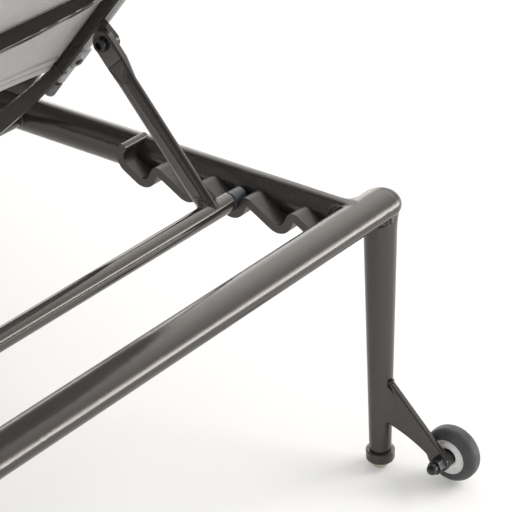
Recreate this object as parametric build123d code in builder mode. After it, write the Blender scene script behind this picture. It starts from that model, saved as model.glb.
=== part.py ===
"""Reclining sun lounger: oval-tube base on tapered legs, sling seat, and a sling back held by a prop in
two notched racks. +X is towards the head end, +Y towards the right-hand side and +Z up, in millimetres."""
import os
from math import cos, radians, sin

from build123d import *

# Base frame: oval tubes welded into a rectangle
leg_base = 1650.0
leg_spread = 624.0
frame_top = 354.0
tube_major = 46.0
tube_minor = 33.5
tube_wall = 2.0
rail_inset = 41.0
rail_bite = 10.0
drain_dia = 6.0
weld_gap = 0.05

# Tapered legs with a cup and a glide
leg_top_dia = 38.0
leg_foot_dia = 25.0
leg_wall = 2.5
glide_drop = 8.0
glide_dia = 17.0
glide_edge = 1.5
glide_pin_dia = 8.0
cup_dia = 33.5
cup_height = 14.5
cup_floor = 3.0
cup_edge = 4.0
cup_lip = 1.5
press_gap = 0.05

# Rear wheels, each on a plate welded to the back of a rear leg
wheel_dia = 67.0
tyre_width = 24.0
tyre_round = 10.0
tyre_lip = 0.6
hub_dia = 43.0
hub_width = 22.0
hub_dish = 5.0
hub_boss_dia = 28.0
bearing_dia = 22.0
bearing_width = 7.0
axle_dia = 8.0
running_gap = 0.05
side_gap = 0.5
wheel_reach = 84.0
axle_height = 37.0
arm_thick = 8.0
arm_end_r = 10.5
arm_weld_r = 3.0
arm_weld_top = 116.0
arm_weld_low = 66.0
arm_hollow_reach = 23.0
arm_hollow_drop = 10.0
axle_spacer = 6.0
axle_spacer_dia = 19.0
axle_head = 5.0
hex_flats = 16.0
washer_thick = 1.6
washer_dia = 18.0
acorn_hex = 9.0
acorn_neck = 4.0
acorn_dome_dia = 13.0

# Hinge and back, laid out along the back from the hinge and out towards the sling
hinge_reach = 488.0
recline = 50.0
back_thick = 8.0
back_inner = 207.0
back_depth = 15.0
back_edge = 2.5
bar_round = 2.0
back_front = -17.2
back_seam = 165.0
back_length = 800.0
eye_r = 14.0
arm_mid = 80.0
arm_mid_out = -14.1
arm_root_depth = 23.0
arm_mid_depth = 19.0
bush_dia = 14.0
hinge_pin_dia = 10.0
hinge_head_dia = 18.0
hinge_head = 6.0
hinge_pin_hold = 24.0
socket_flats = 8.0
socket_depth = 3.5
boss_dia = 24.0
guard_thick = 6.0
guard_front = 50.0
guard_rise = 46.0
guard_lean = 42.0
guard_top = 34.0
guard_foot = 14.0
guard_round = 6.0

# Sling rails, slings and their saddles
sling_tube_width = 12.0
sling_tube_depth = 15.0
sling_tube_wall = 1.5
sling_tube_y = 223.0
sling_thick = 1.2
sling_gap = 0.3
sling_front_gap = 0.7
sling_hem_turn = 150.0
back_tube_start = 134.0
back_hem_top = 12.0
saddle_wall = 2.5
saddle_width = 25.0
saddle_inset = 15.0
saddle_reach = 229.0
back_saddles = 4
saddle_head_dia = 9.0
saddle_head = 2.5
screw_socket_flats = 4.0
screw_socket_depth = 1.5
cap_wall = 1.5
cap_length = 24.0
cap_round = 4.0
cap_plug = 12.0
seat_tube_z = 351.5
seat_end_gap = 30.0
seat_hinge_gap = 42.0
seat_hem = 6.0
seat_braces = 4
seat_brace_inset = 60.0
brace_thick = 8.0
seat_brace_depth = 20.0
seat_brace_bow = 25.0
seat_brace_flat = 40.0
back_brace_shares = (0.40625, 0.7125)
back_brace_end = 11.0
back_brace_front_bow = 2.0
back_brace_rear_bow = 9.0
top_bar_inset = 20.0
top_bar_width = 28.0

# Prop: two arms, a bar and two sleeves that sit in the rack notches
lug_place = 256.5
lug_out = -51.3
lug_r = 10.0
lug_foot = 20.0
lug_foot_rise = 1.5
lug_thick = 8.0
prop_gap = 0.5
prop_pin_dia = 8.0
prop_head_dia = 17.0
prop_head = 5.0
prop_head_edge = 1.5
prop_tab_thick = 10.0
prop_tab_width = 29.0
prop_tab = 26.0
prop_tab_edge = 2.5
prop_blend = 24.0
prop_tube_width = 25.0
prop_tube_thick = 14.5
prop_bar_dia = 22.5
prop_bar_half = 229.5
prop_bar_edge = 2.0
sleeve_dia = 20.0
sleeve_length = 20.5
sleeve_edge = 1.5
spigot_dia = 12.0

# Notched racks on the inner faces of the side rails
rack_inner = 232.5
rack_band = 10.0
notch_gap = 0.4
held_reach = 142.5
notch_reaches = (269.5, 206.0, held_reach, 79.0)
notch_rise = 1.5
rack_wall_tilt = 64.0
rack_ramp_tilt = 29.0
hump_r = 5.2
curl_r = 15.0
curl_reach = 40.0
curl_tip_reach = 28.0
curl_tip_rise = 20.0
rack_tail_reach = 30.0

# Places that follow from the sizes above
leg_y = leg_spread / 2
rear_over = wheel_reach + wheel_dia / 2
front_over = tube_major / 2
rear_x = (leg_base + front_over - rear_over) / 2
front_x = rear_x - leg_base
cross_z = frame_top - tube_minor / 2
rail_z = frame_top - tube_major / 2
rail_y = leg_y - rail_inset
rail_inner = rail_y - tube_minor / 2
hinge_x = rear_x - hinge_reach
hinge_z = rail_z
back_outer = back_inner + back_thick
back_rear = back_front - back_depth
wrap_inner = sling_tube_width / 2 + sling_gap
wrap_outer = wrap_inner + sling_thick
tube_straight = (sling_tube_depth - sling_tube_width) / 2
back_tube_out = back_front + sling_front_gap - wrap_inner - tube_straight
saddle_inner = wrap_outer + sling_gap
saddle_outer = saddle_inner + saddle_wall
saddle_drop = saddle_outer + tube_straight
seat_front = front_x + tube_major / 2 + seat_end_gap
seat_rear = hinge_x - seat_hinge_gap
tilt = radians(recline)
along_back = Vector(cos(tilt), 0, sin(tilt))
out_of_back = Vector(-sin(tilt), 0, cos(tilt))
hinge_at = Vector(hinge_x, 0, hinge_z)
lug_at = hinge_at + along_back * lug_place + out_of_back * lug_out
notch_z = rail_z + notch_rise
notches = [(rear_x - reach, notch_z) for reach in notch_reaches]
sleeve_at = Vector(rear_x - held_reach, 0, notch_z)
prop_length = (sleeve_at - lug_at).length
along_prop = (sleeve_at - lug_at).normalized()
prop_tab_outer = back_inner - prop_gap
prop_tab_y = prop_tab_outer - prop_tab_thick / 2
prop_tube_y = prop_tab_outer - prop_tube_thick / 2
lug_outer = back_inner + lug_thick
wheel_y = leg_y + arm_thick / 2 + axle_spacer + side_gap + tyre_width / 2
axle_x = rear_x + wheel_reach
cup_top = glide_drop + cup_height
leg_foot = glide_drop + cup_floor

os.makedirs("parts", exist_ok=True)


def side(y):
    """Plane across the frame at y, with local x along +X and local y up; it extrudes towards the -Y side."""
    return Plane(origin=(0, y, 0), x_dir=(1, 0, 0), z_dir=(0, -1, 0))


def back_side(y):
    """Side plane of the back: local x runs up the back from the hinge, local y out towards the sling."""
    return Plane(origin=(hinge_x, y, hinge_z), x_dir=along_back, z_dir=(0, -1, 0))


def back_section(place):
    """Cross-section of the back at a distance from the hinge: local x is +Y, local y out to the sling."""
    return Plane(origin=(hinge_at + along_back * place), x_dir=(0, 1, 0), z_dir=along_back)


def prop_section(place, y):
    """Cross-section of a prop arm at a distance from its upper pivot: local x is +Y."""
    at = lug_at + along_prop * place
    return Plane(origin=(at.X, y, at.Z), x_dir=(0, 1, 0), z_dir=along_prop)


def save(part, name):
    """Label a finished piece and write it to its file."""
    part.label = name
    export_step(part, "parts/" + name + ".step")


def save_pair(right, name):
    """Write a right-hand piece and its mirror image across the centre plane."""
    with BuildPart() as left:
        mirror(right, about=Plane.XZ)
    save(right, name + "_right")
    save(left.part, name + "_left")


def save_mirrored_group(right, name):
    """Write the right-hand solids and their mirror images together in one file."""
    with BuildPart() as group:
        add(right)
        mirror(right, about=Plane.XZ)
    save(group.part, name)


def oval_bar(at_x, width, height, mode):
    """Oval bar across the frame with round ends about the leg axes, added to or cut from the open part."""
    with BuildSketch(side(leg_y)) as oval:
        with Locations((at_x, cross_z)):
            Ellipse(width / 2, height / 2)
    extrude(oval.sketch, amount=leg_spread, mode=mode)
    for end, turn in ((leg_y, 180), (-leg_y, -180)):
        with BuildSketch(side(end)) as half_oval:
            with Locations((at_x, cross_z)):
                Ellipse(width / 2, height / 2)
                Rectangle(width, height, align=(Align.MAX, Align.CENTER), mode=Mode.SUBTRACT)
        revolve(half_oval.sketch, Axis((at_x, end, 0), (0, 0, 1)), revolution_arc=turn, mode=mode)


def cut_cross_tube(at_x):
    """Cope the open part to the outside of a cross tube."""
    with BuildSketch(side(leg_y + tube_major)) as oval:
        with Locations((at_x, cross_z)):
            Ellipse(tube_major / 2 + weld_gap, tube_minor / 2 + weld_gap)
    extrude(oval.sketch, amount=leg_spread + 2 * tube_major, mode=Mode.SUBTRACT)


def cut_side_rails():
    """Cope the open part to the outsides of the two side rails."""
    with BuildSketch(Plane.YZ.offset(front_x)) as ovals:
        with Locations((rail_y, rail_z), (-rail_y, rail_z)):
            Ellipse(tube_minor / 2 + weld_gap, tube_major / 2 + weld_gap)
    extrude(ovals.sketch, amount=leg_base, mode=Mode.SUBTRACT)


# Cross tubes, with a drain hole underneath
for tube_x, tube_name in ((rear_x, "rear_cross_tube"), (front_x, "front_cross_tube")):
    with BuildPart() as cross_tube:
        oval_bar(tube_x, tube_major, tube_minor, Mode.ADD)
        oval_bar(tube_x, tube_major - 2 * tube_wall, tube_minor - 2 * tube_wall, Mode.SUBTRACT)
        with Locations((tube_x, 0, cross_z)):
            Cylinder(drain_dia / 2, tube_minor, align=(Align.CENTER, Align.CENTER, Align.MAX),
                     mode=Mode.SUBTRACT)
    save(cross_tube.part, tube_name)

# Side rails, coped to both cross tubes
rail_start = front_x + tube_major / 2 - rail_bite
rail_end = rear_x - tube_major / 2 + rail_bite
with BuildPart() as side_rail:
    with BuildSketch(Plane.YZ.offset(rail_start)):
        with Locations((rail_y, rail_z)):
            Ellipse(tube_minor / 2, tube_major / 2)
            Ellipse(tube_minor / 2 - tube_wall, tube_major / 2 - tube_wall, mode=Mode.SUBTRACT)
    extrude(amount=rail_end - rail_start)
    for tube_x in (front_x, rear_x):
        cut_cross_tube(tube_x)
save_pair(side_rail.part, "side_rail")

# Tapered legs with their cups and glides
leg_top = cross_z
leg_slope = (leg_top_dia - leg_foot_dia) / 2 / (leg_top - leg_foot)


def leg_radius(z):
    """Outside radius of a leg at a height."""
    return leg_foot_dia / 2 + leg_slope * (z - leg_foot)


for leg_x, leg_name in ((rear_x, "rear"), (front_x, "front")):
    with BuildPart() as leg:
        with BuildSketch(Plane(origin=(leg_x, leg_y, 0), x_dir=(1, 0, 0), z_dir=(0, -1, 0))):
            Polygon(
                (leg_radius(leg_foot) - leg_wall, leg_foot + press_gap),
                (leg_radius(leg_foot), leg_foot + press_gap),
                (leg_radius(leg_top), leg_top),
                (leg_radius(leg_top) - leg_wall, leg_top),
                align=None,
            )
        revolve(axis=Axis((leg_x, leg_y, 0), (0, 0, 1)))
        cut_cross_tube(leg_x)
    save_pair(leg.part, "leg_" + leg_name)

with BuildPart() as cups:
    for leg_x in (rear_x, front_x):
        with BuildSketch(Plane(origin=(leg_x, leg_y, 0), x_dir=(1, 0, 0), z_dir=(0, -1, 0))):
            with BuildLine():
                FilletPolyline(
                    (glide_pin_dia / 2 + press_gap, glide_drop),
                    (cup_dia / 2, glide_drop),
                    (cup_dia / 2, cup_top),
                    (leg_radius(cup_top) + press_gap, cup_top),
                    radius=[cup_edge, cup_lip],
                )
                Polyline(
                    (leg_radius(cup_top) + press_gap, cup_top),
                    (leg_radius(leg_foot) + press_gap, leg_foot),
                    (glide_pin_dia / 2 + press_gap, leg_foot),
                    (glide_pin_dia / 2 + press_gap, glide_drop),
                )
            make_face()
        revolve(axis=Axis((leg_x, leg_y, 0), (0, 0, 1)))
save_mirrored_group(cups.part, "foot_cups")

with BuildPart() as glides:
    for leg_x in (rear_x, front_x):
        with BuildSketch(Plane(origin=(leg_x, leg_y, 0), x_dir=(1, 0, 0), z_dir=(0, -1, 0))):
            with BuildLine():
                FilletPolyline(
                    (0, 0),
                    (glide_dia / 2, 0),
                    (glide_dia / 2, glide_drop - press_gap),
                    (glide_pin_dia / 2, glide_drop - press_gap),
                    radius=[glide_edge, glide_edge / 2],
                )
                Polyline(
                    (glide_pin_dia / 2, glide_drop - press_gap),
                    (glide_pin_dia / 2, leg_foot),
                    (0, leg_foot),
                    (0, 0),
                )
            make_face()
        revolve(axis=Axis((leg_x, leg_y, 0), (0, 0, 1)))
save_mirrored_group(glides.part, "foot_glides")

# Wheel arms: plates from the rear legs down to the axles
with BuildPart() as wheel_arm:
    with BuildSketch(side(leg_y + arm_thick / 2)):
        with Locations((axle_x, axle_height)):
            Circle(arm_end_r)
        weld_x = rear_x + leg_radius(arm_weld_low)
        with Locations((weld_x, arm_weld_top), (weld_x - arm_weld_r, arm_weld_low)):
            Circle(arm_weld_r)
        make_hull()
        with Locations((axle_x, axle_height)):
            Circle(axle_dia / 2 + press_gap, mode=Mode.SUBTRACT)
        with BuildLine() as hollow:
            ThreePointArc(
                (weld_x - arm_weld_r, arm_weld_low - arm_weld_r),
                (weld_x + arm_hollow_reach, arm_weld_low - arm_hollow_drop),
                (axle_x - arm_end_r, axle_height),
            )
            Line((axle_x - arm_end_r, axle_height), (weld_x - arm_weld_r, axle_height))
            Line((weld_x - arm_weld_r, axle_height), (weld_x - arm_weld_r, arm_weld_low - arm_weld_r))
        make_face(hollow.edges(), mode=Mode.SUBTRACT)
    extrude(amount=arm_thick)
    with BuildSketch(Plane(origin=(rear_x, leg_y, 0), x_dir=(-1, 0, 0), z_dir=(0, 1, 0))):
        Polygon(
            (0, leg_foot),
            (leg_radius(leg_foot) + weld_gap, leg_foot),
            (leg_radius(leg_top) + weld_gap, leg_top),
            (0, leg_top),
            align=None,
        )
    revolve(axis=Axis((rear_x, leg_y, 0), (0, 0, 1)), mode=Mode.SUBTRACT)
save_pair(wheel_arm.part, "wheel_arm")

# Axle bolts, spacers and acorn nuts, in order from the outside inwards
hub_half = hub_width / 2
axle_outer = wheel_y + tyre_width / 2 + side_gap
spacer_start = leg_y + arm_thick / 2
nut_start = leg_y - arm_thick / 2 - washer_thick
with BuildPart() as axle_bolt:
    with BuildSketch(side(axle_outer + axle_head)):
        with Locations((axle_x, axle_height)):
            RegularPolygon(hex_flats / 2, 6, major_radius=False)
    extrude(amount=axle_head)
    with BuildSketch(side(axle_outer)):
        with Locations((axle_x, axle_height)):
            Circle(axle_dia / 2)
    extrude(amount=axle_outer - nut_start + acorn_hex)
save_mirrored_group(axle_bolt.part, "axle_bolts")

with BuildPart() as axle_washer:
    for washer_y, outer, thick in (
        (spacer_start + axle_spacer, axle_spacer_dia, axle_spacer),
        (leg_y - arm_thick / 2, washer_dia, washer_thick),
    ):
        with BuildSketch(side(washer_y)):
            with Locations((axle_x, axle_height)):
                Circle(outer / 2)
                Circle(axle_dia / 2 + press_gap, mode=Mode.SUBTRACT)
        extrude(amount=thick)
save_mirrored_group(axle_washer.part, "axle_spacers")

with BuildPart() as acorn_nut:
    with BuildSketch(side(nut_start)):
        with Locations((axle_x, axle_height)):
            RegularPolygon(hex_flats / 2, 6, major_radius=False)
    extrude(amount=acorn_hex)
    dome_start = nut_start - acorn_hex
    with BuildSketch(side(dome_start)):
        with Locations((axle_x, axle_height)):
            Circle(acorn_dome_dia / 2)
    extrude(amount=acorn_neck)
    with Locations((axle_x, dome_start - acorn_neck, axle_height)):
        Sphere(acorn_dome_dia / 2)
    with BuildSketch(side(nut_start)):
        with Locations((axle_x, axle_height)):
            Circle(axle_dia / 2 + press_gap)
    extrude(amount=acorn_hex + press_gap, mode=Mode.SUBTRACT)
save_mirrored_group(acorn_nut.part, "acorn_nuts")

# Wheels: rubber tyre, dished hub and a pair of bearings
wheel_plane = Plane(origin=(axle_x, wheel_y, axle_height), x_dir=(0, 1, 0), z_dir=(-1, 0, 0))
wheel_axis = Axis((axle_x, wheel_y, axle_height), (0, 1, 0))
with BuildPart() as tyre:
    with BuildSketch(wheel_plane):
        with BuildLine():
            FilletPolyline(
                (-hub_half, hub_dia / 2 + press_gap),
                (-tyre_width / 2, hub_dia / 2 + press_gap),
                (-tyre_width / 2, wheel_dia / 2),
                (tyre_width / 2, wheel_dia / 2),
                (tyre_width / 2, hub_dia / 2 + press_gap),
                (hub_half, hub_dia / 2 + press_gap),
                radius=[tyre_lip, tyre_round, tyre_round, tyre_lip],
            )
            Line((hub_half, hub_dia / 2 + press_gap), (-hub_half, hub_dia / 2 + press_gap))
        make_face()
    revolve(axis=wheel_axis)
save_pair(tyre.part, "wheel_tyre")

with BuildPart() as hub:
    with BuildSketch(wheel_plane):
        Polygon(
            (-hub_half, bearing_dia / 2 + press_gap),
            (-hub_half, hub_boss_dia / 2),
            (-hub_half + hub_dish, hub_boss_dia / 2 + hub_dish / 2),
            (-hub_half + hub_dish, hub_dia / 2 - hub_dish),
            (-hub_half, hub_dia / 2),
            (hub_half, hub_dia / 2),
            (hub_half - hub_dish, hub_dia / 2 - hub_dish),
            (hub_half - hub_dish, hub_boss_dia / 2 + hub_dish / 2),
            (hub_half, hub_boss_dia / 2),
            (hub_half, bearing_dia / 2 + press_gap),
            align=None,
        )
    revolve(axis=wheel_axis)
save_pair(hub.part, "wheel_hub")

with BuildPart() as bearing:
    for bearing_y in (wheel_y + hub_half, wheel_y - hub_half + bearing_width):
        with BuildSketch(side(bearing_y)):
            with Locations((axle_x, axle_height)):
                Circle(bearing_dia / 2)
                Circle(axle_dia / 2 + running_gap, mode=Mode.SUBTRACT)
        extrude(amount=bearing_width)
save_pair(bearing.part, "wheel_bearings")

# Recline racks: a wavy band with one notch for each position of the sleeves
notch_r = sleeve_dia / 2 + notch_gap
mid_r = notch_r + rack_band / 2
ramp = Vector(cos(radians(rack_ramp_tilt)), -sin(radians(rack_ramp_tilt)))
wall = Vector(cos(radians(rack_wall_tilt)), sin(radians(rack_wall_tilt)))


def meet(first, first_way, second, second_way):
    """Point where two straight lines, each given by a point and a direction, cross."""
    cross = first_way.X * second_way.Y - first_way.Y * second_way.X
    gap = second - first
    reach = (gap.X * second_way.Y - gap.Y * second_way.X) / cross
    return first + first_way * reach


ramp_points = [Vector(x, z) + Vector(ramp.Y, -ramp.X) * mid_r for x, z in notches]
wall_points = [Vector(x, z) + Vector(wall.Y, -wall.X) * mid_r for x, z in notches]
first_x = notches[0][0]
curl_corner = meet(ramp_points[0], ramp, Vector(first_x - curl_reach, notch_z), Vector(0, 1))
rack_path = [(first_x - curl_tip_reach, notch_z + curl_tip_rise), (curl_corner.X, curl_corner.Y)]
rack_radii = [curl_r]
for place in range(len(notches)):
    valley = meet(ramp_points[place], ramp, wall_points[place], wall)
    rack_path.append((valley.X, valley.Y))
    rack_radii.append(mid_r)
    if place + 1 < len(notches):
        next_ramp = ramp_points[place + 1]
    else:
        next_ramp = ramp_points[place] + Vector(notches[1][0] - notches[0][0], 0)
    hump = meet(wall_points[place], wall, next_ramp, ramp)
    rack_path.append((hump.X, hump.Y))
    rack_radii.append(hump_r)
tail_at = meet(next_ramp, ramp, Vector(rear_x - rack_tail_reach, 0), Vector(0, 1))
rack_path.append((tail_at.X, tail_at.Y))

with BuildPart() as rack:
    with BuildSketch(side(rail_y)):
        with BuildLine():
            FilletPolyline(*rack_path, radius=rack_radii)
            offset(amount=rack_band / 2, side=Side.BOTH)
        make_face()
    extrude(amount=rail_y - rack_inner)
    cut_side_rails()
save_pair(rack.part, "recline_rack")

# Hinges: a boss on each rail, a shouldered pin and the arms that turn on it
pin_head_y = back_inner - side_gap
boss_inner = back_outer + side_gap
with BuildPart() as hinge_boss:
    with BuildSketch(side(rail_y)):
        with Locations((hinge_x, hinge_z)):
            Circle(boss_dia / 2)
            Circle(hinge_pin_dia / 2 + press_gap, mode=Mode.SUBTRACT)
    extrude(amount=rail_y - boss_inner)
    cut_side_rails()
save_pair(hinge_boss.part, "hinge_boss")

with BuildPart() as hinge_pin:
    with BuildSketch(side(boss_inner + hinge_pin_hold)):
        with Locations((hinge_x, hinge_z)):
            Circle(hinge_pin_dia / 2)
    extrude(amount=boss_inner + hinge_pin_hold - pin_head_y)
    with BuildSketch(side(pin_head_y)):
        with Locations((hinge_x, hinge_z)):
            Circle(hinge_head_dia / 2)
    extrude(amount=hinge_head)
    fillet(hinge_pin.faces().sort_by(Axis.Y)[0].edges(), prop_head_edge)
    with BuildSketch(side(pin_head_y - hinge_head)):
        with Locations((hinge_x, hinge_z)):
            RegularPolygon(socket_flats / 2, 6, major_radius=False)
    extrude(amount=-socket_depth, mode=Mode.SUBTRACT)
save_mirrored_group(hinge_pin.part, "hinge_pins")

# Guards: leaning plates on the rails beside the hinges
guard_base = hinge_z + tube_major / 4
with BuildPart() as guard:
    with BuildSketch(side(rail_y + guard_thick / 2)):
        with BuildLine():
            FilletPolyline(
                (hinge_x - guard_front, guard_base),
                (hinge_x - guard_front, frame_top + guard_foot),
                (hinge_x + guard_lean - guard_top, frame_top + guard_rise),
                (hinge_x + guard_lean, frame_top + guard_rise),
                (hinge_x - guard_round, guard_base),
                radius=guard_round,
            )
            Line((hinge_x - guard_round, guard_base), (hinge_x - guard_front, guard_base))
        make_face()
    extrude(amount=guard_thick)
    cut_side_rails()
save_pair(guard.part, "hinge_guard")

arm_seam_out = back_front - back_depth / 2
with BuildPart() as hinge_arm:
    with BuildSketch(back_side(back_outer)):
        with BuildLine():
            ThreePointArc(
                (0, arm_root_depth / 2),
                (arm_mid, arm_mid_out + arm_mid_depth / 2),
                (back_seam, back_front),
            )
            Line((back_seam, back_front), (back_seam, back_rear))
            ThreePointArc(
                (back_seam, back_rear),
                (arm_mid, arm_mid_out - arm_mid_depth / 2),
                (0, -arm_root_depth / 2),
            )
            Line((0, -arm_root_depth / 2), (0, arm_root_depth / 2))
        make_face()
        Circle(eye_r)
    extrude(amount=back_thick)
    fillet(hinge_arm.faces().filter_by(Axis.Y).edges(), bar_round)
    with BuildSketch(back_side(back_outer)):
        Circle(bush_dia / 2 + press_gap)
    extrude(amount=back_thick, mode=Mode.SUBTRACT)
save_pair(hinge_arm.part, "hinge_arm")

with BuildPart() as hinge_bush:
    with BuildSketch(back_side(back_outer)):
        Circle(bush_dia / 2)
        Circle(hinge_pin_dia / 2 + running_gap, mode=Mode.SUBTRACT)
    extrude(amount=back_thick)
save_mirrored_group(hinge_bush.part, "hinge_bushes")

# Back rails, with rounded long edges, and the bar across the top
with BuildPart() as back_rail:
    with BuildSketch(back_section(back_seam + weld_gap)):
        with Locations((back_inner + back_thick / 2, arm_seam_out)):
            RectangleRounded(back_thick, back_depth, back_edge)
    extrude(amount=back_length - back_seam - weld_gap)
save_pair(back_rail.part, "back_rail")

top_bar_half = back_inner - weld_gap
top_bar_place = back_length - top_bar_inset
with BuildPart() as top_bar:
    with BuildSketch(back_side(top_bar_half)):
        with Locations((top_bar_place, arm_seam_out)):
            SlotOverall(top_bar_width, back_depth)
            SlotOverall(top_bar_width - 2 * tube_wall, back_depth - 2 * tube_wall, mode=Mode.SUBTRACT)
    extrude(amount=2 * top_bar_half)
save(top_bar.part, "back_top_bar")

# Bowed back braces between the rails, behind the sling
for share, brace_name in zip(back_brace_shares, ("back_brace_lower", "back_brace_upper")):
    with BuildPart() as back_brace:
        with BuildSketch(back_section(share * back_length)):
            brace_front = back_front - sling_front_gap
            brace_rear = brace_front - back_brace_end
            with BuildLine():
                ThreePointArc(
                    (-top_bar_half, brace_front),
                    (0, brace_front - back_brace_front_bow),
                    (top_bar_half, brace_front),
                )
                Line((top_bar_half, brace_front), (top_bar_half, brace_rear))
                ThreePointArc(
                    (top_bar_half, brace_rear),
                    (0, brace_rear - back_brace_rear_bow),
                    (-top_bar_half, brace_rear),
                )
                Line((-top_bar_half, brace_rear), (-top_bar_half, brace_front))
            make_face()
        extrude(amount=brace_thick)
        fillet(back_brace.edges().filter_by(GeomType.CIRCLE), bar_round)
    save(back_brace.part, brace_name)


# Sling rails of the back and of the seat: flat-oval tubes
def oval_slot(grow, mode=Mode.ADD):
    """Section of a sling rail, larger by an even margin, on the open sketch."""
    SlotOverall(sling_tube_depth + 2 * grow, sling_tube_width + 2 * grow, rotation=90, mode=mode)


with BuildPart() as back_tube:
    with BuildSketch(back_section(back_tube_start)):
        with Locations((sling_tube_y, back_tube_out)):
            oval_slot(0)
            oval_slot(-sling_tube_wall, Mode.SUBTRACT)
    extrude(amount=back_length - back_tube_start)
save_pair(back_tube.part, "back_sling_rail")

with BuildPart() as seat_tube:
    with BuildSketch(Plane.YZ.offset(seat_front)):
        with Locations((sling_tube_y, seat_tube_z)):
            oval_slot(0)
            oval_slot(-sling_tube_wall, Mode.SUBTRACT)
    extrude(amount=seat_rear - seat_front)
save_pair(seat_tube.part, "seat_sling_rail")

# Rounded caps plugged into the ends of the sling rails
with BuildPart() as cap:
    with BuildSketch(Plane.XY.offset(press_gap)):
        oval_slot(cap_wall)
    extrude(amount=cap_length)
    fillet(cap.faces().sort_by(Axis.Z)[-1].edges(), cap_round)
    with BuildSketch(Plane.XY.offset(-cap_plug)):
        oval_slot(-sling_tube_wall - press_gap)
    extrude(amount=cap_plug + press_gap)

with BuildPart() as back_caps:
    for place, turn in ((back_tube_start, -1), (back_length, 1)):
        cap_at = back_section(place).from_local_coords(Vector(sling_tube_y, back_tube_out, 0))
        with Locations(Plane(origin=cap_at, x_dir=(0, 1, 0), z_dir=along_back * turn)):
            add(cap.part)
save_mirrored_group(back_caps.part, "back_rail_caps")

with BuildPart() as seat_caps:
    for place, turn in ((seat_front, -1), (seat_rear, 1)):
        cap_at = (place, sling_tube_y, seat_tube_z)
        with Locations(Plane(origin=cap_at, x_dir=(0, 1, 0), z_dir=(turn, 0, 0))):
            add(cap.part)
save_mirrored_group(seat_caps.part, "seat_rail_caps")


def sling_face(tube_out):
    """Section of a sling: a flat sheet whose two edges wrap the sling rails, on the open sketch."""
    front = tube_out + tube_straight
    rear = tube_out - tube_straight
    with BuildLine() as outline:
        for hand in (1, -1):
            edge_y = hand * sling_tube_y
            for radius in (wrap_inner, wrap_outer):
                start = 0 if hand == 1 else 180
                CenterArc((edge_y, front), radius, start, 90 * hand)
                Line((edge_y + hand * radius, front), (edge_y + hand * radius, rear))
                CenterArc((edge_y, rear), radius, start, -sling_hem_turn * hand)
            hem = radians(start - sling_hem_turn * hand)
            Line(
                (edge_y + wrap_inner * cos(hem), rear + wrap_inner * sin(hem)),
                (edge_y + wrap_outer * cos(hem), rear + wrap_outer * sin(hem)),
            )
        for radius in (wrap_inner, wrap_outer):
            Line((-sling_tube_y, front + radius), (sling_tube_y, front + radius))
    make_face(outline.edges())


with BuildPart() as back_sling:
    with BuildSketch(back_section(back_seam)):
        sling_face(back_tube_out)
    extrude(amount=back_length - back_hem_top - back_seam)
save(back_sling.part, "back_sling")

with BuildPart() as seat_sling:
    with BuildSketch(Plane.YZ.offset(seat_front + seat_hem)):
        sling_face(seat_tube_z)
    extrude(amount=seat_rear - seat_front - 2 * seat_hem)
save(seat_sling.part, "seat_sling")


def saddle_face(tube_out, foot_inner, foot_rise):
    """Section of a saddle: a cradle behind a sling rail with a foot beside it, on the open sketch."""
    with Locations((sling_tube_y, tube_out)):
        oval_slot(saddle_outer - sling_tube_width / 2)
        Rectangle(2 * saddle_outer, 2 * saddle_drop, align=(Align.CENTER, Align.MIN), mode=Mode.SUBTRACT)
    with Locations((sling_tube_y, tube_out - saddle_drop)):
        Rectangle(sling_tube_y - foot_inner, foot_rise, align=(Align.MAX, Align.MIN))
    with Locations((back_outer + press_gap, tube_out - saddle_drop + foot_rise)):
        Rectangle(saddle_outer, 2 * saddle_drop, align=(Align.MAX, Align.MIN), mode=Mode.SUBTRACT)
    with Locations((saddle_reach, tube_out)):
        Rectangle(saddle_outer, 2 * saddle_drop, align=(Align.MIN, Align.CENTER), mode=Mode.SUBTRACT)
    with Locations((sling_tube_y, tube_out)):
        oval_slot(saddle_inner - sling_tube_width / 2, Mode.SUBTRACT)


back_foot_rise = back_rear - press_gap - back_tube_out + saddle_drop
saddle_step = (back_length - back_seam - 2 * saddle_inset - saddle_width) / (back_saddles - 1)
saddle_places = [back_seam + saddle_inset + step * saddle_step for step in range(back_saddles)]
with BuildPart() as saddles:
    for place in saddle_places:
        with BuildSketch(back_section(place)):
            saddle_face(back_tube_out, back_inner + back_edge, back_foot_rise)
        extrude(amount=saddle_width)
save_mirrored_group(saddles.part, "back_saddles")

with BuildPart() as saddle_screws:
    for place in saddle_places:
        head_at = back_section(place + saddle_width / 2).from_local_coords(
            Vector(back_inner + back_thick / 2 + back_edge, back_tube_out - saddle_drop, 0))
        head_plane = Plane(origin=head_at, x_dir=(0, 1, 0), z_dir=-out_of_back)
        with BuildSketch(head_plane):
            Circle(saddle_head_dia / 2)
        extrude(amount=saddle_head)
        with BuildSketch(head_plane.offset(saddle_head)):
            RegularPolygon(screw_socket_flats / 2, 6, major_radius=False)
        extrude(amount=-screw_socket_depth, mode=Mode.SUBTRACT)
save_mirrored_group(saddle_screws.part, "back_saddle_screws")

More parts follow.
